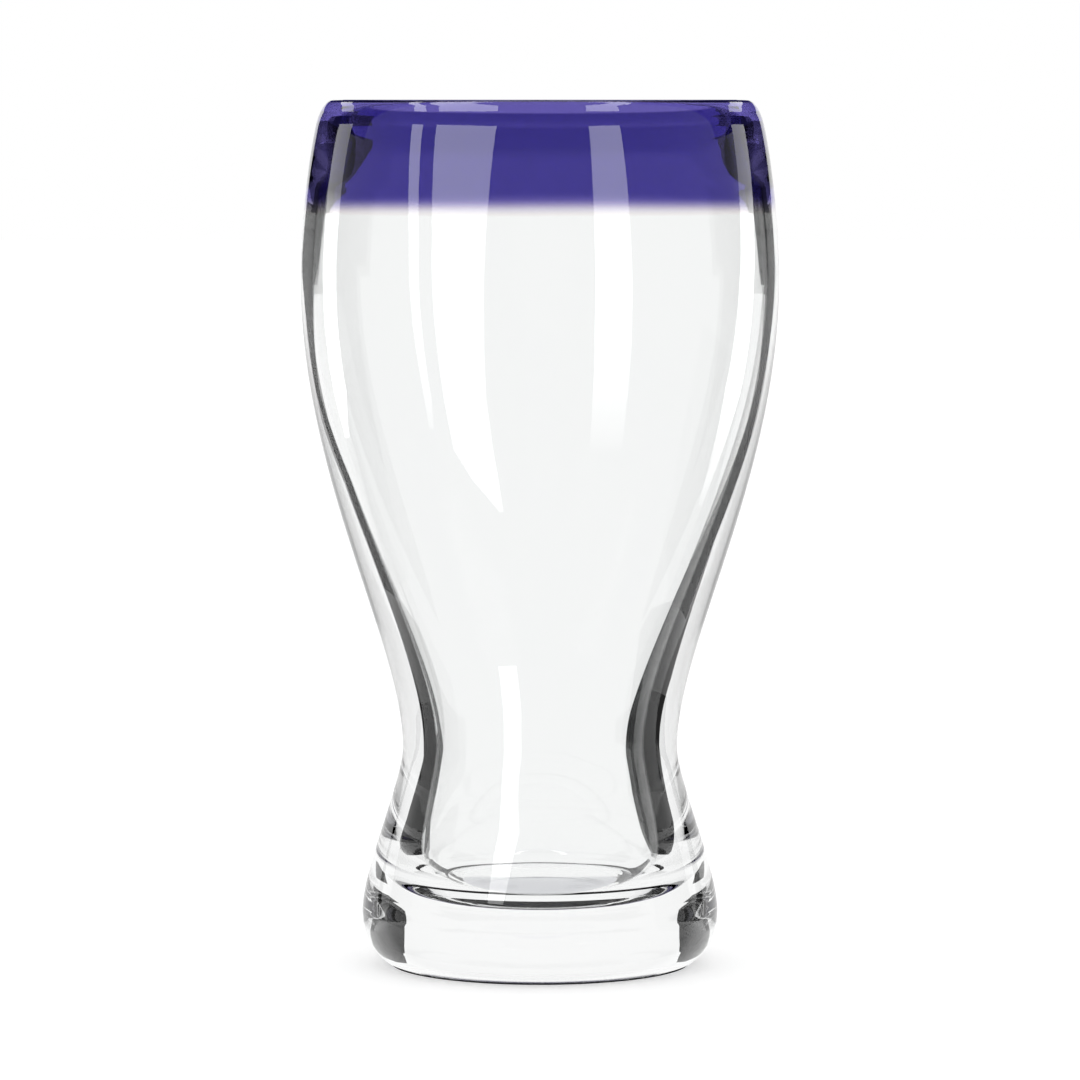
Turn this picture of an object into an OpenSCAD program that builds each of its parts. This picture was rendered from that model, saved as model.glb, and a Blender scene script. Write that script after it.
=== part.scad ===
// Waisted beer glass with a solid foot and a cobalt rim band.
// Three gathers of glass are fused on one upright axis: the foot, the bowl and the rim band.
// The axis is Z, and the glass stands on the plane z = 0.

/* [Overall] */
// Height of the glass, from the table to the top of the lip
height = 178; // [168:1:195]

/* [Foot] */
// Widest diameter of the foot
foot_d = 73.4; // [66:0.2:80]
// Height of the foot's widest point
foot_z = 11; // [8:0.5:13]
// Outer diameter of the flat ring that the glass stands on
bearing_d = 57.5; // [52:0.5:62]
// Diameter of the shallow hollow under the foot
punt_d = 42; // [34:0.5:46]
// Depth of the shallow hollow under the foot
punt_h = 2; // [1:0.25:4]

/* [Waist] */
// Outer diameter at the narrowest point
waist_d = 56.6; // [52:0.2:64]
// Height of the narrowest point
waist_z = 45; // [40:0.5:56]
// Wall at the narrowest point
waist_wall = 6.8; // [5:0.1:8]

/* [Belly] */
// Outer diameter at the widest point
belly_d = 98.2; // [92:0.2:106]
// Height of the widest point
belly_z = 142; // [132:0.5:146]
// Wall at the widest point
belly_wall = 2.4; // [2:0.1:4]

/* [Lip] */
// Outer diameter where the lip starts to round over
lip_d = 91.6; // [86:0.2:96]
// Height of the rounded lip
lip_rise = 5; // [3.5:0.25:6.5]
// Wall where the lip starts to round over
lip_wall = 4.4; // [3.6:0.1:6]
// Wall at the top of the neck, where it starts to thicken towards the lip
neck_wall = 2.6; // [2.2:0.1:3.4]
// Inward lean of the wall at the lip, in degrees
lip_lean = 12.5; // [6:0.5:16]

/* [Well] */
// Height of the inside floor
floor_z = 13; // [11:0.25:16]
// Diameter of the flat middle of the inside floor
floor_flat_d = 34; // [26:0.5:40]
// Widest inside diameter, just above the rounded corner of the floor
well_d = 50; // [46:0.5:54]
// Height of the rounded corner of the floor
well_rise = 9; // [6:0.25:12]

/* [Fused joints] */
// Height of the seat's middle, where the bowl's bottom rests in the foot
seat_z = 7; // [5.5:0.25:9]
// Diameter over which the seat stays shallow
seat_d = 44; // [36:0.5:50]
// Height of the joint line between foot and bowl, on the outside
foot_joint_z = 15.5; // [13.5:0.25:18]
// Height of the rim band, measured to the middle of its joint
band_h = 24.5; // [14:0.5:28]
// Height over which the rim band's joint is bevelled
band_bevel_h = 3; // [1.5:0.25:5]

/* [Curves] */
// Pull of the flare above the foot
flare_pull = 0.25; // [0.2:0.01:0.4]
// Pull of the flare below the waist
tuck_pull = 0.2; // [0.15:0.01:0.4]
// Pull of the taper above the waist
taper_pull = 0.22; // [0.15:0.01:0.4]
// Pull of the taper below the belly
swell_pull = 0.43; // [0.3:0.01:0.55]
// Pull of the shoulder above the belly
shoulder_pull = 0.12; // [0.08:0.01:0.4]
// Pull of the shoulder below the lip
neck_pull = 0.37; // [0.2:0.01:0.5]
// Share of the shoulder's height over which the neck's wall stays thin
neck_share = 0.6; // [0.3:0.01:0.7]
// Pull of the thickening inside above the neck
thicken_pull = 0.12; // [0.08:0.01:0.4]
// Pull of the thickening inside below the lip
lip_pull = 0.15; // [0.08:0.01:0.5]
// Fullness of the rounded corners, 0.55 being nearly an ellipse
corner_pull = 0.55; // [0.45:0.01:0.65]

/* [Hidden] */
// Straight pieces along each curve
curve_steps = 20;
// Facets shown round the axis
$fn = 160;
// Wall points nearer than this to a joint are left out
joint_margin = 0.05;
// Height over which the shoulder's lean is measured
lean_step = 0.5;
clear_colour = [0.86, 0.93, 0.94, 0.45];
cobalt_colour = [0.16, 0.14, 0.45, 0.85];

// Stations of the outside, as [radius, height]
bearing_edge = [bearing_d / 2, 0];
foot_edge = [foot_d / 2, foot_z];
waist_edge = [waist_d / 2, waist_z];
belly_edge = [belly_d / 2, belly_z];
lip_edge = [lip_d / 2, height - lip_rise];
lip_outer_corner = lip_edge + lip_rise * [-tan(lip_lean), 1];

// Stations of the inside
lip_inside = lip_edge - [lip_wall, 0];
lip_inner_corner = lip_outer_corner - [lip_wall, 0];
lip_crest = (lip_outer_corner + lip_inner_corner) / 2;
belly_inside = belly_edge - [belly_wall, 0];
waist_inside = waist_edge - [waist_wall, 0];
well_inside = [well_d / 2, floor_z + well_rise];
floor_edge = [floor_flat_d / 2, floor_z];
floor_corner = [well_d / 2, floor_z];

// Point at t, from 0 to 1, on the cubic curve with control points p
function curve_point(p, t) =
    pow(1 - t, 3) * p[0] + 3 * pow(1 - t, 2) * t * p[1] + 3 * (1 - t) * t * t * p[2] + pow(t, 3) * p[3];

// Points along a cubic curve, without its first point
function curve(p) = [for (i = [1:curve_steps]) curve_point(p, i / curve_steps)];

// Curve that leaves a upright and reaches b upright, with a pull at each end
function upright_curve(a, b, pull_a, pull_b) =
    let (rise = [0, b[1] - a[1]])
    curve([a, a + pull_a * rise, b - pull_b * rise, b]);

// Rounded corner from a to b, under the sharp corner k
function corner_curve(a, k, b) = curve([a, a + corner_pull * (k - a), b + corner_pull * (k - b), b]);

function reversed(points) = [for (i = [len(points) - 1:-1:0]) points[i]];

// Shoulder, from the upright belly to the leaning lip
shoulder_rise = lip_edge[1] - belly_z;
shoulder = curve([
    belly_edge,
    belly_edge + [0, shoulder_pull * shoulder_rise],
    lip_edge + neck_pull * shoulder_rise * [tan(lip_lean), -1],
    lip_edge
]);

// Outside, from the bearing ring up to the crest of the lip
outside = concat(
    [bearing_edge],
    corner_curve(bearing_edge, [foot_d / 2, 0], foot_edge),
    upright_curve(foot_edge, waist_edge, flare_pull, tuck_pull),
    upright_curve(waist_edge, belly_edge, taper_pull, swell_pull),
    shoulder,
    corner_curve(lip_edge, lip_outer_corner, lip_crest)
);

// Radius of a wall at height z
function radius_at(points, z) = lookup(z, [for (p = points) [p[1], p[0]]]);

// Points of a wall below and above a joint that meets it at height z
function below(points, z) = [for (p = points) if (p[1] < z - joint_margin) p];
function above(points, z) = [for (p = points) if (p[1] > z + joint_margin) p];

// Inside of the neck, whose thin wall follows the shoulder up from the belly
neck_z = belly_z + neck_share * shoulder_rise;
function neck_wall_at(z) = lookup(z, [[belly_z, belly_wall], [neck_z, neck_wall]]);
neck_inside = [for (p = below(shoulder, neck_z)) p - [neck_wall_at(p[1]), 0]];

// Inside above the neck, where the wall thickens towards the lip
neck_edge = [radius_at(shoulder, neck_z), neck_z];
neck_top = neck_edge - [neck_wall, 0];
neck_lean = (neck_edge[0] - radius_at(shoulder, neck_z - lean_step)) / lean_step;
thicken_rise = lip_inside[1] - neck_z;
thicken_inside = curve([
    lip_inside,
    lip_inside + lip_pull * thicken_rise * [tan(lip_lean), -1],
    neck_top + thicken_pull * thicken_rise * [neck_lean, 1],
    neck_top
]);

// Inside, from the crest of the lip down to the middle of the floor
inside = concat(
    corner_curve(lip_crest, lip_inner_corner, lip_inside),
    thicken_inside,
    reversed(neck_inside),
    [belly_inside],
    upright_curve(belly_inside, waist_inside, swell_pull, taper_pull),
    upright_curve(waist_inside, well_inside, tuck_pull, flare_pull),
    corner_curve(well_inside, floor_corner, floor_edge),
    [[0, floor_z]]
);

// Hollow under the foot, from its middle out to the bearing ring
underside = concat(
    [[0, punt_h]],
    corner_curve([0, punt_h], [punt_d / 4, punt_h], [punt_d / 2, 0])
);

// Joint of foot and bowl, from the axis out to the outside
foot_joint_edge = [radius_at(outside, foot_joint_z), foot_joint_z];
foot_joint = concat(
    [[0, seat_z]],
    corner_curve([0, seat_z], [seat_d / 2, seat_z], foot_joint_edge)
);

// Ends of the bevelled joint of bowl and rim band
band_joint_outer_z = height - band_h - band_bevel_h / 2;
band_joint_inner_z = height - band_h + band_bevel_h / 2;
band_joint_outer = [radius_at(outside, band_joint_outer_z), band_joint_outer_z];
band_joint_inner = [radius_at(inside, band_joint_inner_z), band_joint_inner_z];

// Solid foot with a rounded heel, a bearing ring and a dished seat
module foot() {
    color(clear_colour)
    rotate_extrude()
    polygon(concat(
        underside,
        below(outside, foot_joint_z),
        reversed(foot_joint)
    ));
}

// Clear vessel from its rounded bottom to the bevel that carries the rim band
module bowl() {
    color(clear_colour)
    rotate_extrude()
    polygon(concat(
        foot_joint,
        above(below(outside, band_joint_outer_z), foot_joint_z),
        [band_joint_outer, band_joint_inner],
        below(inside, band_joint_inner_z)
    ));
}

// Cobalt band with the thick rounded lip
module rim_band() {
    color(cobalt_colour)
    rotate_extrude()
    polygon(concat(
        [band_joint_outer],
        above(outside, band_joint_outer_z),
        above(inside, band_joint_inner_z),
        [band_joint_inner]
    ));
}

foot();
bowl();
rim_band();
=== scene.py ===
import math

import bpy
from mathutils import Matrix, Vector


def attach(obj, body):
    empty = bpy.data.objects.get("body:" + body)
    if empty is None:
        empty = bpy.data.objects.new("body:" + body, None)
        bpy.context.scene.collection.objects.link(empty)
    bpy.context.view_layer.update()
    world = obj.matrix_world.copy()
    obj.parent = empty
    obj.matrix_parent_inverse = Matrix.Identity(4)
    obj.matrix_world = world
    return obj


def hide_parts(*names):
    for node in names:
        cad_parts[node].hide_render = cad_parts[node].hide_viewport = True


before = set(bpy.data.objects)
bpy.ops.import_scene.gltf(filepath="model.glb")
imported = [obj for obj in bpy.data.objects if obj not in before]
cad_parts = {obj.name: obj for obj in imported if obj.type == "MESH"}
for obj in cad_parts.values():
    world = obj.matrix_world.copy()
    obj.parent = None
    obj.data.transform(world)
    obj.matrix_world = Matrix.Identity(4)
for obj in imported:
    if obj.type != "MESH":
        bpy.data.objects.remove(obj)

scene = bpy.context.scene
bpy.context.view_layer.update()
mm = 0.001
print("frame loaded:", sorted(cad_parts))


# profile curves, each four control points (radius, height) in millimetres

def point(radius, height):
    return Vector((radius, height))


def cornerCurve(a, corner, b, fullness=0.55):  # rounds a corner off from a to b
    return [a, a.lerp(corner, fullness), b.lerp(corner, fullness), b]


def uprightCurve(a, b, pullA, pullB):  # leaves a and reaches b upright
    rise = point(0, b.y - a.y)
    return [a, a + pullA * rise, b - pullB * rise, b]


def straightLine(a, b):
    return [a, a.lerp(b, 1 / 3), a.lerp(b, 2 / 3), b]


def backwards(curve):
    return curve[::-1]


def splitAtHeight(curve, height):
    low, high = 0.0, 1.0
    rising = curve[3].y > curve[0].y
    for step in range(50):
        middle = (low + high) / 2
        ab, bc, cd = (curve[i].lerp(curve[i + 1], middle) for i in range(3))
        abc, bcd = ab.lerp(bc, middle), bc.lerp(cd, middle)
        cut = abc.lerp(bcd, middle)
        if (cut.y < height) == rising:
            low = middle
        else:
            high = middle
    return [curve[0], ab, abc, cut], [cut, bcd, cd, curve[3]]


rimBandSizes = {
    "topHeight": 178.0,
    "lipRadius": 45.8,      # where the lip starts to round over
    "lipRise": 5.0,
    "lipWall": 4.4,
    "lipLean": 12.5,        # degrees
    "neckPull": 0.37,
    "shoulderPull": 0.12,
    "jointOutside": 152.0,  # heights of the scarfed joint with the bowl
    "jointInside": 155.0,
    "neckHeight": 160.6,    # where the wall starts to thicken towards the lip
    "neckWall": 2.6,
    "thickenPull": 0.12,
    "lipPull": 0.15,
}
bowlSizes = {
    "bellyRadius": 49.1,
    "bellyHeight": 142.0,
    "bellyWall": 2.4,
    "swellPull": 0.43,
    "waistRadius": 28.3,
    "waistHeight": 45.0,
    "waistWall": 6.8,
    "taperPull": 0.22,
    "tuckPull": 0.2,
    "wellRadius": 25.0,
    "wellRise": 9.0,
    "floorHeight": 13.0,
    "floorRadius": 17.0,    # flat middle of the inside floor
}
footSizes = {
    "footRadius": 36.7,
    "footHeight": 11.0,     # of the widest point
    "flarePull": 0.25,
    "bearingRadius": 28.75,
    "puntRadius": 21.0,
    "puntDepth": 2.0,
    "seatRadius": 22.0,
    "seatHeight": 7.0,
    "jointHeight": 15.5,    # of the joint line on the outside
}


def glassCurves(rim, bowl, foot):
    leanTan = math.tan(math.radians(rim["lipLean"]))
    lipHeight = rim["topHeight"] - rim["lipRise"]
    lipOut = point(rim["lipRadius"], lipHeight)
    lipIn = lipOut - point(rim["lipWall"], 0)
    cornerOut = lipOut + rim["lipRise"] * point(-leanTan, 1)
    cornerIn = cornerOut - point(rim["lipWall"], 0)
    crest = (cornerOut + cornerIn) / 2
    bellyOut = point(bowl["bellyRadius"], bowl["bellyHeight"])
    bellyIn = bellyOut - point(bowl["bellyWall"], 0)
    waistOut = point(bowl["waistRadius"], bowl["waistHeight"])
    waistIn = waistOut - point(bowl["waistWall"], 0)
    well = point(bowl["wellRadius"], bowl["floorHeight"] + bowl["wellRise"])
    wellCorner = point(bowl["wellRadius"], bowl["floorHeight"])
    floorEdge = point(bowl["floorRadius"], bowl["floorHeight"])
    floorMiddle = point(0, bowl["floorHeight"])
    footEdge = point(foot["footRadius"], foot["footHeight"])
    heelCorner = point(foot["footRadius"], 0)
    bearingOut = point(foot["bearingRadius"], 0)
    bearingIn = point(foot["puntRadius"], 0)
    puntTop = point(0, foot["puntDepth"])
    puntCorner = point(foot["puntRadius"] / 2, foot["puntDepth"])
    seatMiddle = point(0, foot["seatHeight"])
    seatCorner = point(foot["seatRadius"], foot["seatHeight"])

    flareOut = uprightCurve(footEdge, waistOut, foot["flarePull"], bowl["tuckPull"])
    flareFoot, flareBowl = splitAtHeight(flareOut, foot["jointHeight"])
    taperOut = uprightCurve(waistOut, bellyOut, bowl["taperPull"], bowl["swellPull"])
    rise = lipOut.y - bellyOut.y
    shoulder = [
        bellyOut,
        bellyOut + point(0, rim["shoulderPull"] * rise),
        lipOut + rim["neckPull"] * rise * point(leanTan, -1),
        lipOut,
    ]
    shoulderOut = splitAtHeight(shoulder, rim["jointOutside"])
    # inside, a thin wall follows the shoulder up the neck, then thickens towards the lip
    neckOut = splitAtHeight(shoulder, rim["neckHeight"])[0]
    gain = (rim["neckWall"] - bowl["bellyWall"]) / 3
    neckIn = [spot - point(bowl["bellyWall"] + i * gain, 0) for i, spot in enumerate(neckOut)]
    neckLow, neckHigh = splitAtHeight(neckIn, rim["jointInside"])
    neckStep = neckOut[3] - neckOut[2]
    thickenRise = lipHeight - rim["neckHeight"]
    thickenIn = [
        neckIn[3],
        neckIn[3] + rim["thickenPull"] * thickenRise * neckStep / neckStep.y,
        lipIn + rim["lipPull"] * thickenRise * point(leanTan, -1),
        lipIn,
    ]
    taperIn = uprightCurve(bellyIn, waistIn, bowl["swellPull"], bowl["taperPull"])
    flareIn = uprightCurve(waistIn, well, bowl["tuckPull"], foot["flarePull"])
    seat = cornerCurve(seatMiddle, seatCorner, flareFoot[3])
    scarf = straightLine(shoulderOut[0][3], neckLow[3])

    # each piece: its glass walls, then the faces where it is fused to its neighbour
    return {
        "foot": (
            [
                cornerCurve(puntTop, puntCorner, bearingIn),
                straightLine(bearingIn, bearingOut),
                cornerCurve(bearingOut, heelCorner, footEdge),
                flareFoot,
            ],
            [backwards(seat)],
        ),
        "bowl": (
            [
                flareBowl,
                taperOut,
                shoulderOut[0],
                backwards(neckLow),
                taperIn,
                flareIn,
                cornerCurve(well, wellCorner, floorEdge),
                straightLine(floorEdge, floorMiddle),
            ],
            [seat, scarf],
        ),
        "rim_band": (
            [
                shoulderOut[1],
                cornerCurve(lipOut, cornerOut, crest),
                cornerCurve(crest, cornerIn, lipIn),
                backwards(thickenIn),
                backwards(neckHigh),
            ],
            [backwards(scarf)],
        ),
    }


plainWhite = (1.0, 1.0, 1.0, 1.0)


def feed(tree, socket, value):  # value is another node's socket or a plain number or colour
    if isinstance(value, bpy.types.NodeSocket):
        tree.links.new(value, socket)
    else:
        socket.default_value = value


def addNode(tree, kind, settings=None, **inputs):
    node = tree.nodes.new(kind)
    for name, value in (settings or {}).items():
        setattr(node, name, value)
    for name, value in inputs.items():
        feed(tree, node.inputs[name.replace("_", " ")], value)
    return node


def addMath(tree, operation, a, b=0.0, c=0.0):
    node = addNode(tree, "ShaderNodeMath", {"operation": operation})
    for socket, value in zip(node.inputs, (a, b, c)):
        feed(tree, socket, value)
    return node.outputs[0]


def mixColours(tree, share, a, b):
    node = addNode(tree, "ShaderNodeMix", {"data_type": "RGBA"})
    for socket, value in zip((node.inputs[0], node.inputs[6], node.inputs[7]), (share, a, b)):
        feed(tree, socket, value)
    return node.outputs[2]


def mixShaders(tree, share, a, b):
    node = tree.nodes.new("ShaderNodeMixShader")
    for socket, source in zip(node.inputs, (share, a.outputs[0], b.outputs[0])):
        tree.links.new(source, socket)
    return node


def bareMaterial(name):  # its nodes hold nothing but the output
    material = bpy.data.materials.new(name)
    material.use_nodes = True
    tree = material.node_tree
    tree.nodes.remove(tree.nodes["Principled BSDF"])
    return material, tree


def showSurface(tree, shader):
    tree.links.new(shader.outputs[0], tree.nodes["Material Output"].inputs["Surface"])


def clearShader(tree):
    return addNode(tree, "ShaderNodeBsdfTransparent", Color=plainWhite)


clearGlassLook = {
    "tint": (0.968, 0.974, 0.972, 1.0),
    "ior": 1.5,
    "roughness": (0.0, 0.003),   # fire polish, between the clearest and the dullest spots
    "dullScale": 90.0,           # per metre
    "dullRange": (0.35, 0.7),    # share of the noise that counts as clearest and as dullest
    "rippleScale": 26.0,
    "rippleHeight": 0.000006,
}
cobaltGlassLook = {
    **clearGlassLook,
    "deep": (0.178, 0.149, 0.482, 1.0),
    "pale": (0.2, 0.171, 0.506, 1.0),
    "streakScale": 55.0,         # of the change between deep and pale
    "warm": (0.97, 0.94, 0.915, 1.0),   # where the colour just starts
    "warmShare": 0.08,
    "fadeFrom": 0.1548,          # heights between which the colour comes in
    "fadeTo": 0.1586,
    "fadeWander": 0.0014,
    "wanderScale": 14.0,
    "lip": (0.118, 0.094, 0.41, 1.0),    # the colour pools in the thick lip
    "lipFrom": 0.1726,
    "lipTo": 0.1742,
}


def glassMaterial(name, look):
    material = bpy.data.materials.new(name)
    material.use_nodes = True
    tree = material.node_tree
    shader = tree.nodes["Principled BSDF"]
    shader.inputs["Transmission Weight"].default_value = 1.0
    shader.inputs["IOR"].default_value = look["ior"]
    shader.inputs["Base Color"].default_value = look["tint"]
    place = addNode(tree, "ShaderNodeTexCoord").outputs["Object"]
    dull = addNode(tree, "ShaderNodeTexNoise", Vector=place, Scale=look["dullScale"], Detail=3.0)
    clearest, dullest = look["dullRange"]
    low, high = look["roughness"]
    polish = addNode(
        tree, "ShaderNodeMapRange", Value=dull.outputs["Fac"],
        From_Min=clearest, From_Max=dullest, To_Min=low, To_Max=high,
    )
    tree.links.new(polish.outputs["Result"], shader.inputs["Roughness"])
    ripple = addNode(tree, "ShaderNodeTexNoise", Vector=place, Scale=look["rippleScale"], Detail=1.0)
    bump = addNode(
        tree, "ShaderNodeBump",
        Height=ripple.outputs["Fac"], Distance=look["rippleHeight"], Strength=1.0,
    )
    tree.links.new(bump.outputs["Normal"], shader.inputs["Normal"])
    return material, tree, shader, place


def cobaltMaterial(name, look):
    material, tree, shader, place = glassMaterial(name, look)
    height = addNode(tree, "ShaderNodeSeparateXYZ", Vector=place).outputs["Z"]
    wander = addNode(tree, "ShaderNodeTexNoise", Vector=place, Scale=look["wanderScale"], Detail=1.0)
    shifted = addMath(tree, "MULTIPLY_ADD", wander.outputs["Fac"], look["fadeWander"], height)
    edge = look["fadeWander"] / 2
    fade = addNode(
        tree, "ShaderNodeMapRange", {"interpolation_type": "SMOOTHSTEP"}, Value=shifted,
        From_Min=look["fadeFrom"] + edge, From_Max=look["fadeTo"] + edge,
    ).outputs["Result"]
    hint = addNode(tree, "ShaderNodeMapRange", Value=fade, From_Min=0.0, From_Max=look["warmShare"])
    pooled = addNode(
        tree, "ShaderNodeMapRange", {"interpolation_type": "SMOOTHSTEP"}, Value=height,
        From_Min=look["lipFrom"], From_Max=look["lipTo"],
    )
    streak = addNode(tree, "ShaderNodeTexNoise", Vector=place, Scale=look["streakScale"], Detail=2.0)
    blue = mixColours(tree, streak.outputs["Fac"], look["deep"], look["pale"])
    band = mixColours(tree, pooled.outputs["Result"], blue, look["lip"])
    start = mixColours(tree, hint.outputs["Result"], look["tint"], look["warm"])
    tree.links.new(mixColours(tree, fade, start, band), shader.inputs["Base Color"])
    return material


def fusedMaterial(name):  # glass runs on through a fused joint, so nothing shows there
    material, tree = bareMaterial(name)
    showSurface(tree, clearShader(tree))
    return material


clearGlass = glassMaterial("clearGlass", clearGlassLook)[0]
cobaltGlass = cobaltMaterial("cobaltGlass", cobaltGlassLook)
fusedJoint = fusedMaterial("fusedJoint")
print("finishes made")


# one node tree turns every profile round the axis
turningSizes = {
    "Sides": 176,
    "Weld": 0.000002,
    "Wave Height": 0.00003,
    "Wave Scale": 22.0,
    "Wave Seed": 4.0,
}
profileSizes = {
    "rowLength": 1.7,       # millimetres of profile for each row of faces
    "leastRows": 6,
    "wheelRadius": 1e-7,    # next to nothing, so that the profile turns about the axis itself
    "crispAngle": 0.6,      # radians, past which an edge isn't smoothed
}


def turningTree():
    tree = bpy.data.node_groups.new("turnedGlass", "GeometryNodeTree")
    face = tree.interface
    face.new_socket("Profile", in_out="INPUT", socket_type="NodeSocketGeometry")
    face.new_socket("Sides", in_out="INPUT", socket_type="NodeSocketInt")
    face.new_socket("Wall Curves", in_out="INPUT", socket_type="NodeSocketInt")
    for name in ("Weld", "Wave Height", "Wave Scale", "Wave Seed"):
        face.new_socket(name, in_out="INPUT", socket_type="NodeSocketFloat")
    face.new_socket("Glass", in_out="INPUT", socket_type="NodeSocketMaterial")
    face.new_socket("Fused Joint", in_out="INPUT", socket_type="NodeSocketMaterial")
    face.new_socket("Turned Glass", in_out="OUTPUT", socket_type="NodeSocketGeometry")
    given = tree.nodes.new("NodeGroupInput").outputs
    result = tree.nodes.new("NodeGroupOutput")

    # walls come first among the profile's curves, fused joints after them
    index = addNode(tree, "GeometryNodeInputIndex").outputs[0]
    isWall = addNode(tree, "FunctionNodeCompare", {"data_type": "INT", "operation": "LESS_THAN"})
    tree.links.new(index, isWall.inputs[2])
    tree.links.new(given["Wall Curves"], isWall.inputs[3])
    parted = addNode(
        tree, "GeometryNodeSeparateGeometry", {"domain": "CURVE"},
        Geometry=given["Profile"], Selection=isWall.outputs[0],
    )
    wheel = addNode(
        tree, "GeometryNodeCurvePrimitiveCircle",
        Resolution=given["Sides"], Radius=profileSizes["wheelRadius"],
    ).outputs[0]
    walls = addNode(tree, "GeometryNodeCurveToMesh", Curve=wheel, Profile_Curve=parted.outputs["Selection"])
    joints = addNode(tree, "GeometryNodeCurveToMesh", Curve=wheel, Profile_Curve=parted.outputs["Inverted"])
    marked = addNode(
        tree, "GeometryNodeStoreNamedAttribute", {"data_type": "BOOLEAN", "domain": "FACE"},
        Geometry=joints.outputs[0], Name="fused", Value=True,
    )
    whole = tree.nodes.new("GeometryNodeJoinGeometry")
    tree.links.new(walls.outputs[0], whole.inputs[0])
    tree.links.new(marked.outputs[0], whole.inputs[0])
    outwards = addNode(tree, "GeometryNodeFlipFaces", Mesh=whole.outputs[0])
    closed = addNode(
        tree, "GeometryNodeMergeByDistance", Geometry=outwards.outputs[0], Distance=given["Weld"],
    )

    # slight hand-made waviness, straight out from the axis, the same on both sides of a joint
    place = addNode(tree, "GeometryNodeInputPosition").outputs[0]
    flat = addNode(tree, "ShaderNodeVectorMath", {"operation": "MULTIPLY"})
    tree.links.new(place, flat.inputs[0])
    flat.inputs[1].default_value = (1.0, 1.0, 0.0)
    radial = addNode(tree, "ShaderNodeVectorMath", {"operation": "NORMALIZE"})
    tree.links.new(flat.outputs[0], radial.inputs[0])
    wave = addNode(
        tree, "ShaderNodeTexNoise", {"noise_dimensions": "4D"},
        Vector=place, W=given["Wave Seed"], Scale=given["Wave Scale"], Detail=1.0,
    )
    middled = addMath(tree, "SUBTRACT", wave.outputs[0], 0.5)  # in and out alike
    swing = addMath(tree, "MULTIPLY", middled, given["Wave Height"])
    shift = addNode(tree, "ShaderNodeVectorMath", {"operation": "SCALE"})
    tree.links.new(radial.outputs[0], shift.inputs[0])
    tree.links.new(swing, shift.inputs["Scale"])
    wavy = addNode(tree, "GeometryNodeSetPosition", Geometry=closed.outputs[0], Offset=shift.outputs[0])

    # smooth everywhere, with a crisp edge only where a joint face meets a wall
    angle = addNode(tree, "GeometryNodeInputMeshEdgeAngle").outputs[0]
    gentle = addMath(tree, "LESS_THAN", angle, profileSizes["crispAngle"])
    smooth = addNode(tree, "GeometryNodeSetShadeSmooth", {"domain": "FACE"}, Geometry=wavy.outputs[0])
    crisp = addNode(tree, "GeometryNodeSetShadeSmooth", {"domain": "EDGE"}, Geometry=smooth.outputs[0])
    tree.links.new(gentle, crisp.inputs["Shade Smooth"])
    real = addNode(tree, "GeometryNodeRealizeInstances", Geometry=crisp.outputs[0])
    glazed = addNode(tree, "GeometryNodeSetMaterial", Geometry=real.outputs[0], Material=given["Glass"])
    isFused = addNode(tree, "GeometryNodeInputNamedAttribute", {"data_type": "BOOLEAN"}, Name="fused")
    joined = addNode(
        tree, "GeometryNodeSetMaterial",
        Geometry=glazed.outputs[0], Selection=isFused.outputs[0], Material=given["Fused Joint"],
    )
    tree.links.new(joined.outputs[0], result.inputs[0])
    return tree


def drawProfile(name, curves):
    data = bpy.data.curves.new(name, "CURVE")
    data.dimensions = "3D"
    for a, handleA, handleB, b in curves:
        spline = data.splines.new("BEZIER")
        spline.bezier_points.add(1)
        rows = math.ceil((b - a).length / profileSizes["rowLength"])
        spline.resolution_u = max(profileSizes["leastRows"], rows)
        start, end = spline.bezier_points
        for knot, spot, before, after in ((start, a, a, handleA), (end, b, handleB, b)):
            knot.handle_left_type = knot.handle_right_type = "FREE"
            knot.co = (spot.x * mm, -spot.y * mm, 0)       # the sweep turns the profile's y downwards
            knot.handle_left = (before.x * mm, -before.y * mm, 0)
            knot.handle_right = (after.x * mm, -after.y * mm, 0)
    return data


def turnPiece(name, walls, joints, glass, tree):
    blank = bpy.data.objects.new(name + "Profile", drawProfile(name + "Profile", walls + joints))
    scene.collection.objects.link(blank)
    turning = blank.modifiers.new("turning", "NODES")
    turning.node_group = tree
    values = dict(turningSizes)
    values.update({"Wall Curves": len(walls), "Glass": glass, "Fused Joint": fusedJoint})
    for socket in tree.interface.items_tree:
        if socket.item_type == "SOCKET" and socket.in_out == "INPUT" and socket.name in values:
            turning[socket.identifier] = values[socket.name]
    depsgraph = bpy.context.evaluated_depsgraph_get()
    mesh = bpy.data.meshes.new_from_object(blank.evaluated_get(depsgraph), depsgraph=depsgraph)
    mesh.name = name
    bpy.data.objects.remove(blank)
    piece = bpy.data.objects.new(name, mesh)
    scene.collection.objects.link(piece)
    return piece


profiles = glassCurves(rimBandSizes, bowlSizes, footSizes)
lathe = turningTree()
finishes = {
    "foot": (clearGlass, "clear_glass"),
    "bowl": (clearGlass, "clear_glass"),
    "rim_band": (cobaltGlass, "cobalt_glass"),
}
for nodeName, (walls, joints) in profiles.items():
    glass, slotName = finishes[nodeName]
    piece = turnPiece(nodeName + ".glass", walls, joints, glass, lathe)
    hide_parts(nodeName)
    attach(piece, "root")
    print("turned", piece.name, len(piece.data.polygons), "faces")


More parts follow.
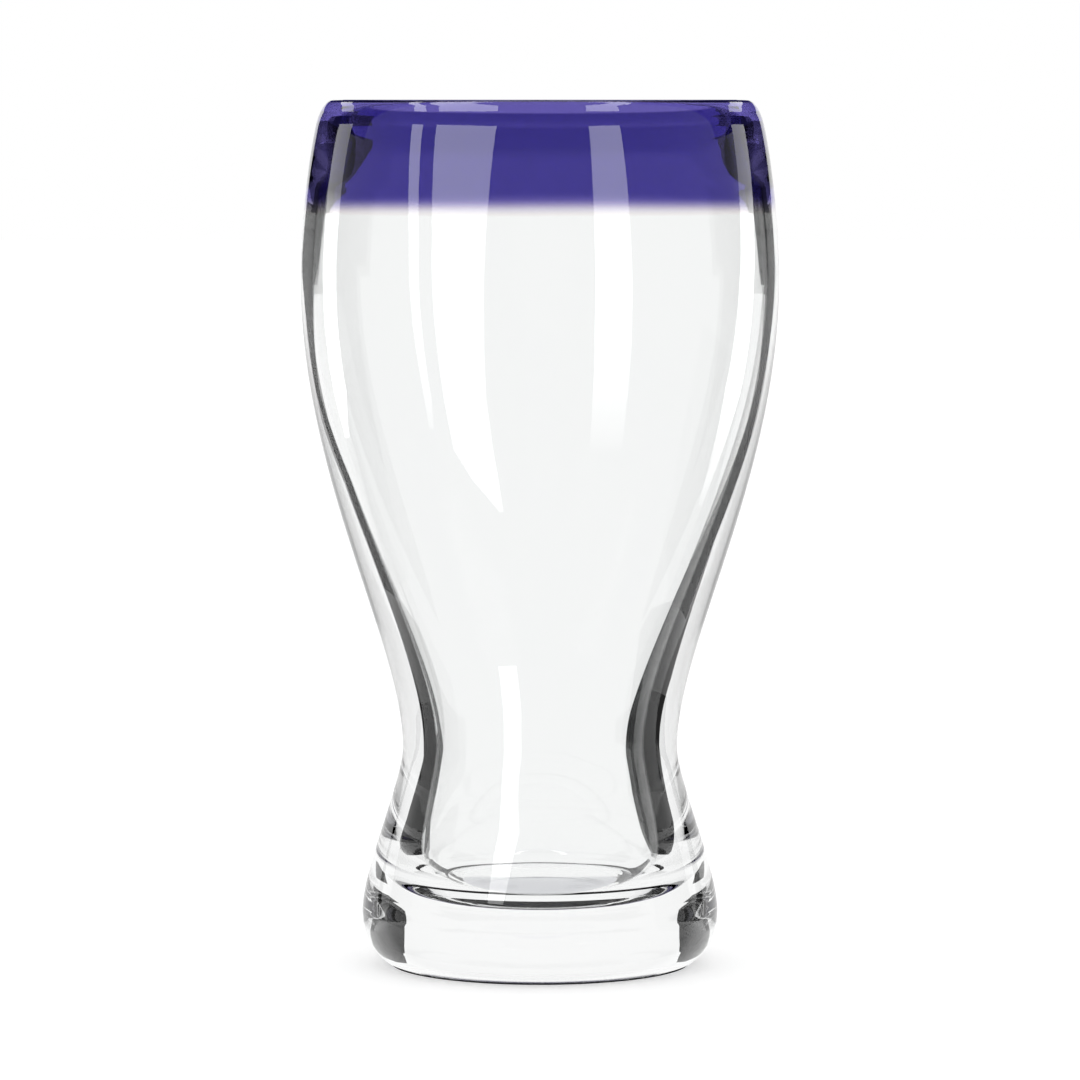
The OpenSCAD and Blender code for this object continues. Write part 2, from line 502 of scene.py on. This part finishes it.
# the studio: pale floor, white surroundings, black flags beside the glass and bright panes in front
studio = {
    "ambient": 0.95,
    "frontTone": 0.3,       # how bright the room behind the camera looks in reflections
    "frontEdge": (0.3, 0.6),    # where it gets bright, from -1 at the camera to 1 behind the glass
    "longWay": 6.5,         # light turned back more often than this has lost some on its way
    "longWayLoss": 0.6,
    "floorColour": (0.86, 0.86, 0.86, 1.0),
    "floorLift": 0.36,      # what the camera sees on top of the lit floor, to reach white
    "floorHalf": 6.0,
    "centre": (0.0, 0.0, 0.1),
    "flagDistance": 3.0,
    "nearRadius": 0.25,
    "bandFlagRadius": 0.062,
    "lipFlagRadius": 0.13,
    "veilRadius": 0.252,
    "paneRadius": 0.08,
    "footPaneRadius": 0.052,
    # a black ring on the floor just round the foot, which the camera sees: a painted contact shadow
    "paintedShadowRing": (0.0282, 0.0308),
    "paintedShadowHeight": 0.12,      # millimetres, like the next two heights
    # a black disc under the foot, seen only through the glass: painted shade of the table under the glass
    "underShadeRadius": 0.0205,
    "underShadeHeight": -0.5,
    "wellShadeRadius": 0.021,
    "wellShadeHeight": -0.6,
    "clothTone": 0.02,
    "lipTone": (0.03, 0.025, 0.16, 1.0),
    "veilTone": (0.24, 0.24, 0.27, 1.0),
    "wellShadeTone": (0.66, 0.66, 0.69, 1.0),
    "paneLight": 4.7,
    "edgePaneLight": 1.9,       # the outermost panes beside the rim band
    "edgePaneStep": (0.158, 0.164),
    "wideFade": (0.056, 0.08),  # heights between which the panes come up to full light
    "slimFade": (0.086, 0.125),
    "edgeFade": (0.07, 0.11),
}
# light through both walls passes four faces; light through the solid foot passes two,
# and so does light that is turned back inside one wall
glassPaths = {
    "faceLimit": 2.5,       # tells four faces from two
    "straight": (0, 0),     # least and most times that the light is turned back inside the glass
    "once": (1, 1),
    "turned": (1, 99),      # 99 stands for any number
    "twice": (2, 99),
}
# each row runs from one side of a card to the other
# a far flag's rows: elevation, then the two azimuths, in degrees from straight behind the glass
throughFlags = {
    "throughFlagLeft": [
        (-42, -25, -38), (-32, -25, -38), (-21, -28, -38), (-14.6, -30, -38),
        (-14.5, -30, -76), (-10, -28, -76), (-3, -28, -76), (-1, -33, -76),
    ],
    "throughFlagRight": [(-40, 25, 78), (-20, 20.5, 78), (-13, 17.5, 78), (-3, 17, 78), (-1, 20, 78)],
}
# these edge the glass when it is seen from its sides and its back
sideFlags = {
    "sideFlagLeft": [(-42, -52, -66), (-19, -53, -66)],
    "sideFlagRight": [(-34, 108, 124), (-6, 108, 124)],
    "sideFlagNearRight": [(-34, 146, 162), (-6, 146, 162)],
    "sideFlagNearLeft": [(-14, -105, -140), (-6, -105, -140), (4, -107, -140)],
}
solidFlags = {
    "footFlagLeft": [(0.5, -48, -64), (6, -40, -67), (10, -40, -66), (13, -47, -58)],
    "footFlagRight": [(0.5, 47, 64), (6, 38, 67), (10, 38, 66), (13, 46, 58)],
    "footFlagNearLeft": [(0.5, -116, -132), (6, -113, -140), (10, -114, -141), (13, -122, -133)],
    "flareFlagLeft": [(-14, -54, -66), (-6, -48, -60)],
    "flareFlagRight": [(-14, 54, 66), (-6, 48, 60)],
}
# rows of the cards near the glass: azimuth and height in millimetres at one side, then at the other
rimFlags = {
    "rimFlagLeft": [
        (-27, 132, -62, 132), (-24, 156, -62, 156), (-17, 160, -62, 160), (-17, 320, -62, 320),
    ],
    "rimFlagRight": [
        (25, 132, 62, 132), (23, 155, 62, 155), (18, 160, 62, 160), (20, 167, 62, 167),
        (20, 203, 62, 203), (18, 223, 62, 223), (18, 320, 62, 320),
    ],
}
turnedFlags = {
    "turnedRimLeft": [(-40, 125, -64, 125), (-38, 195, -64, 195), (-32, 246, -64, 246)],
    "turnedRimRight": [(40, 125, 64, 125), (36, 195, 64, 195), (30, 246, 64, 246)],
    "turnedRimTop": [(-64, 246, 64, 246), (-64, 330, 64, 330)],
}
rimVeil = [(-40, 166, 40, 166), (-40, 250, 40, 250)]
# the same, close beside the glass
bandFlags = {
    "bandFlagLeft": [
        (-64, 158, -86, 158), (-60, 146, -86, 146), (-68, 136, -84, 136), (-66, 120, -77, 120),
        (-63, 105, -75, 105), (-69, 88, -79, 88), (-68, 72, -79, 71), (-65, 56, -80, 53),
        (-61, 40, -88, 44), (-57, 19, -92, 30), (-50, 4, -92, 21), (-50, -14, -90, 11),
    ],
    "bandFlagRight": [
        (70, 158, 86, 158), (69, 145, 86, 146), (72, 127, 84, 127), (67, 105, 80, 104),
        (67, 73, 83, 70), (60, 56, 86, 52), (54, 42, 103, 46), (58, 26, 106, 39),
        (58, 18, 100, 31), (70, 0, 92, 12),
    ],
}
ringFlag = [(-35, 14, 35, 14), (-35, 62, 35, 62)]
# these show only as reflections on the glass: dark cards, then bright panes
glossFlags = {
    "glossBandLeft": [
        (-27, 330, -60, 330), (-30, 175, -62, 186), (-26, 142, -58, 148), (-35, 120, -48, 118),
        (-37, 90, -44, 86), (-51, 43, -58, 36), (-60, -10, -70, -24), (-70, -25, -88, -40),
        (-71, 40, -93, 38), (-66, 70, -92, 98),
    ],
    "glossBandRight": [
        (27, 330, 60, 330), (32, 180, 64, 192), (36, 145, 61, 150), (38, 122, 55, 120),
        (42, 90, 50, 88), (44, 65, 55, 58), (54, 18, 70, 0), (60, -18, 86, -45),
        (70, -12, 103, -37), (70, 43, 106, 27), (67, 75, 103, 106),
    ],
}
lipFlag = [(-95, 192, 95, 192), (-95, 420, 95, 420)]
panes = {
    "paneWideLeft": [
        (-140, 190, -164, 190), (-143, 154, -162, 154), (-145, 106, -161, 106),
        (-146, 90, -162, 90), (-152, 80, -163, 80), (-162, 69, -164, 69),
    ],
    "paneWideLeftTop": [(-134, 218, -161, 225), (-119, 260, -151, 300), (-64, 320, -43, 490)],
    "paneSlimLeft": [
        (-129, 190, -134, 190), (-134, 153, -138, 153), (-137, 106, -140, 106), (-137, 97, -139, 97),
    ],
    "paneSlimLeftTop": [(-122, 214, -128, 216), (-107, 246, -112, 253), (-65, 281, -65, 298)],
    "paneRight": [(162, 190, 150, 190), (162, 130, 149, 130), (161, 90, 148, 90)],
    "paneRightTop": [(159, 225, 144, 222), (149, 298, 131, 276), (46, 475, 60, 370)],
    "paneEdgeLeft": [(-84, 184, -95, 186), (-86, 140, -97, 141), (-85, 110, -96, 110), (-86, 97, -90, 97)],
    "paneEdgeLeftTop": [(-76, 196, -86, 200), (-66, 203, -75, 211), (-50, 204, -54, 216)],
    "paneEdgeRight": [(92, 185, 81, 183), (100, 141, 89, 140), (102, 110, 90, 110), (100, 76, 97, 76)],
    "paneEdgeRightTop": [(84, 199, 73, 194), (73, 210, 63, 200), (53, 214, 48, 200)],
}
footPanes = {
    "paneFoot": [(-157, 49, -167, 49), (-158, 42, -169, 42), (-157, 36, -167, 36), (-157, 22, -164, 22)],
}


def aroundSphere(azimuth, elevation):
    a, e = math.radians(azimuth), math.radians(elevation)
    way = Vector((math.cos(e) * math.sin(a), math.cos(e) * math.cos(a), math.sin(e)))
    return Vector(studio["centre"]) + studio["flagDistance"] * way


def aroundAxis(azimuth, height, radius):
    a = math.radians(azimuth)
    return Vector((radius * math.sin(a), radius * math.cos(a), height * mm))


def onDrum(radius):  # places on an upright drum about the glass
    return lambda azimuth, height: aroundAxis(azimuth, height, radius)


def onDisc(height, inner, outer):  # places on a level disc under the glass
    return lambda azimuth, share: aroundAxis(azimuth, height, inner + share * (outer - inner))


fullTurn = [(-180, 0, 180, 0), (-180, 1, 180, 1)]


def addCard(name, corners, material, place, across=10, between=4):
    lines = []
    for low, high in zip(corners, corners[1:]):
        for i in range(between):
            lines.append([a + (b - a) * i / between for a, b in zip(low, high)])
    lines.append(corners[-1])
    spots = []
    for startAz, startUp, endAz, endUp in lines:
        for i in range(across + 1):
            t = i / across
            spots.append(place(startAz + t * (endAz - startAz), startUp + t * (endUp - startUp)))
    wide = across + 1
    faces = []
    for row in range(len(lines) - 1):
        for i in range(across):
            first = row * wide + i
            faces.append((first, first + 1, first + wide + 1, first + wide))
    mesh = bpy.data.meshes.new(name)
    mesh.from_pydata(spots, [], faces)
    mesh.materials.append(material)
    card = bpy.data.objects.new(name, mesh)
    scene.collection.objects.link(card)
    card.visible_camera = card.visible_diffuse = card.visible_shadow = False
    card.visible_volume_scatter = False
    return card


def addFlag(name, corners, material, place, across=10):  # seen only through the glass
    addCard(name, corners, material, place, across).visible_glossy = False


def addMirrored(name, corners, material, place, across=10):  # seen only as a reflection on the glass
    addCard(name, corners, material, place, across).visible_transmission = False


def lightMaterial(name, strength, colour=plainWhite):
    material, tree = bareMaterial(name)
    showSurface(tree, addNode(tree, "ShaderNodeEmission", Color=colour, Strength=strength))
    material.cycles.emission_sampling = "NONE"  # only seen in the glass, so it lights nothing
    return material


def letThrough(tree, share):  # the card shows by this share, and is clear for the rest
    showSurface(tree, mixShaders(tree, share, clearShader(tree), tree.nodes["Emission"]))


def fadingMaterial(name, fade, strengthBelow, strengthAbove):
    material = lightMaterial(name, strengthBelow)
    tree = material.node_tree
    place = addNode(tree, "ShaderNodeTexCoord").outputs["Object"]
    height = addNode(tree, "ShaderNodeSeparateXYZ", Vector=place).outputs["Z"]
    stepLow, stepHigh = studio["edgePaneStep"]
    level = addNode(
        tree, "ShaderNodeMapRange", Value=height,
        From_Min=stepLow, From_Max=stepHigh, To_Min=strengthBelow, To_Max=strengthAbove,
    )
    tree.links.new(level.outputs["Result"], tree.nodes["Emission"].inputs["Strength"])
    share = addNode(tree, "ShaderNodeMapRange", Value=height, From_Min=fade[0], From_Max=fade[1])
    letThrough(tree, share.outputs["Result"])
    return material


# cloth to some of the light in the glass, clear to the rest
def netMaterial(name, passTest, turns=None, tone=None):
    material = lightMaterial(name, 1.0, tone) if tone else lightMaterial(name, studio["clothTone"])
    tree = material.node_tree
    path = addNode(tree, "ShaderNodeLightPath").outputs
    chosen = addMath(tree, passTest, path["Transmission Depth"], glassPaths["faceLimit"])
    if turns:
        most = addMath(tree, "LESS_THAN", path["Glossy Depth"], turns[1] + 0.5)
        least = addMath(tree, "GREATER_THAN", path["Glossy Depth"], turns[0] - 0.5)
        chosen = addMath(tree, "MULTIPLY", chosen, addMath(tree, "MULTIPLY", least, most))
    letThrough(tree, chosen)
    return material


def setFlags():
    through = netMaterial("throughNet", "GREATER_THAN")
    straight = netMaterial("straightNet", "GREATER_THAN", glassPaths["straight"])
    turned = netMaterial("turnedNet", "LESS_THAN", glassPaths["turned"])
    once = netMaterial("onceTurnedNet", "LESS_THAN", glassPaths["once"])
    twice = netMaterial("twiceTurnedNet", "LESS_THAN", glassPaths["twice"])
    solid = netMaterial("solidNet", "LESS_THAN", glassPaths["straight"])
    veil = netMaterial("greyVeil", "LESS_THAN", glassPaths["turned"], studio["veilTone"])
    shaded = netMaterial("shadedTable", "GREATER_THAN", glassPaths["straight"], studio["wellShadeTone"])
    near = onDrum(studio["nearRadius"])
    close = onDrum(studio["bandFlagRadius"])

    for material, flags in ((through, throughFlags), (straight, sideFlags), (solid, solidFlags)):
        for name, rows in flags.items():
            addFlag(name, [(a, up, b, up) for up, a, b in rows], material, aroundSphere)
    for material, flags, place in (
        (through, rimFlags, near), (turned, turnedFlags, near), (once, bandFlags, close),
    ):
        for name, rows in flags.items():
            addFlag(name, rows, material, place)
    addFlag("ringFlag", ringFlag, twice, close)
    addFlag("rimVeil", rimVeil, veil, onDrum(studio["veilRadius"]))
    # painted shade: a black disc under the foot stands in for the shaded table there, for light turned back
    # inside the foot
    under = onDisc(studio["underShadeHeight"], 0, studio["underShadeRadius"])
    addFlag("underShade", fullTurn, turned, under, 40)
    shade = onDisc(studio["wellShadeHeight"], 0, studio["wellShadeRadius"])
    addFlag("wellShade", fullTurn, shaded, shade, 40)

    black = lightMaterial("blackClothAndPaintedShadow", 0.0)
    blue = lightMaterial("blueCloth", 1.0, studio["lipTone"])
    for name, rows in glossFlags.items():
        addMirrored(name, rows, black, near)
    addMirrored("lipFlag", lipFlag, blue, onDrum(studio["lipFlagRadius"]), 40)
    # painted contact shadow: a black ring on the floor round the foot's edge, seen by the camera; it shares
    # the black of the reflected cloths
    contact = addCard(
        "paintedContactShadow", fullTurn, black, onDisc(studio["paintedShadowHeight"], *studio["paintedShadowRing"]), 120,
    )
    contact.visible_camera = True


def setPanes():
    full, dim = studio["paneLight"], studio["edgePaneLight"]
    lights = {
        "Edge": fadingMaterial("edgePane", studio["edgeFade"], full, dim),
        "Wide": fadingMaterial("widePane", studio["wideFade"], full, full),
        "Foot": lightMaterial("paneLight", full),
    }
    slim = fadingMaterial("slimPane", studio["slimFade"], full, full)
    for outlines, radius in ((panes, studio["paneRadius"]), (footPanes, studio["footPaneRadius"])):
        for name, rows in outlines.items():
            light = next((lights[word] for word in lights if word in name), slim)
            addMirrored(name, rows, light, onDrum(radius))


setFlags()
setPanes()
print("flags and panes set")


def makeFloor():
    material, tree = bareMaterial("paleFloor")
    matt = addNode(tree, "ShaderNodeBsdfDiffuse", Color=studio["floorColour"])
    seen = addNode(tree, "ShaderNodeLightPath").outputs["Is Camera Ray"]
    lift = addNode(tree, "ShaderNodeEmission", Color=plainWhite)
    tree.links.new(addMath(tree, "MULTIPLY", seen, studio["floorLift"]), lift.inputs["Strength"])
    both = addNode(tree, "ShaderNodeAddShader")
    tree.links.new(matt.outputs[0], both.inputs[0])
    tree.links.new(lift.outputs[0], both.inputs[1])
    showSurface(tree, both)
    half = studio["floorHalf"]
    corners = [(-half, -half, 0), (half, -half, 0), (half, half, 0), (-half, half, 0)]
    mesh = bpy.data.meshes.new("floor")
    mesh.from_pydata(corners, [], [(0, 1, 2, 3)])
    mesh.materials.append(material)
    floor = bpy.data.objects.new("floor", mesh)
    scene.collection.objects.link(floor)
    floor.visible_glossy = floor.visible_transmission = False  # glass sees the white surroundings instead


def makeWorld():
    world = bpy.data.worlds.new("whiteStudio")
    scene.world = world
    world.use_nodes = True
    tree = world.node_tree
    tree.nodes.clear()
    path = addNode(tree, "ShaderNodeLightPath").outputs
    seen = addMath(tree, "MAXIMUM", path["Is Camera Ray"], path["Is Glossy Ray"])
    seen = addMath(tree, "MAXIMUM", seen, path["Is Transmission Ray"])
    soft = addNode(tree, "ShaderNodeBackground", Color=plainWhite, Strength=studio["ambient"])
    way = addNode(tree, "ShaderNodeTexCoord").outputs["Generated"]
    behind = addNode(tree, "ShaderNodeSeparateXYZ", Vector=way).outputs["Y"]
    edgeLow, edgeHigh = studio["frontEdge"]
    tone = addNode(
        tree, "ShaderNodeMapRange", {"interpolation_type": "SMOOTHSTEP"}, Value=behind,
        From_Min=edgeLow, From_Max=edgeHigh, To_Min=studio["frontTone"] - 1.0, To_Max=0.0,
    ).outputs["Result"]
    level = addMath(tree, "MULTIPLY_ADD", tone, path["Is Reflection Ray"], 1.0)
    longWay = addMath(tree, "GREATER_THAN", path["Glossy Depth"], studio["longWay"])
    level = addMath(tree, "MULTIPLY_ADD", longWay, -studio["longWayLoss"], level)
    white = addNode(tree, "ShaderNodeBackground", Color=plainWhite, Strength=level)
    output = tree.nodes.new("ShaderNodeOutputWorld")
    tree.links.new(mixShaders(tree, seen, soft, white).outputs[0], output.inputs["Surface"])


cameraSizes = {
    "place": (0.0, -1.158, 0.178),
    "down": 4.46,           # degrees
    "view": 10.93,          # degrees, across the square frame
}
bounceLimits = {            # light runs a long way inside thick glass
    "max_bounces": 48,
    "glossy_bounces": 24,
    "transmission_bounces": 16,
    "transparent_max_bounces": 24,
}


def makeCamera():
    data = bpy.data.cameras.new("photoCamera")
    data.angle = math.radians(cameraSizes["view"])
    camera = bpy.data.objects.new("photoCamera", data)
    camera.location = cameraSizes["place"]
    camera.rotation_euler = (math.radians(90 - cameraSizes["down"]), 0.0, 0.0)
    scene.collection.objects.link(camera)
    scene.camera = camera


makeFloor()
makeWorld()
makeCamera()
scene.view_settings.view_transform = "Standard"
for name, limit in bounceLimits.items():
    setattr(scene.cycles, name, limit)
print("studio ready")
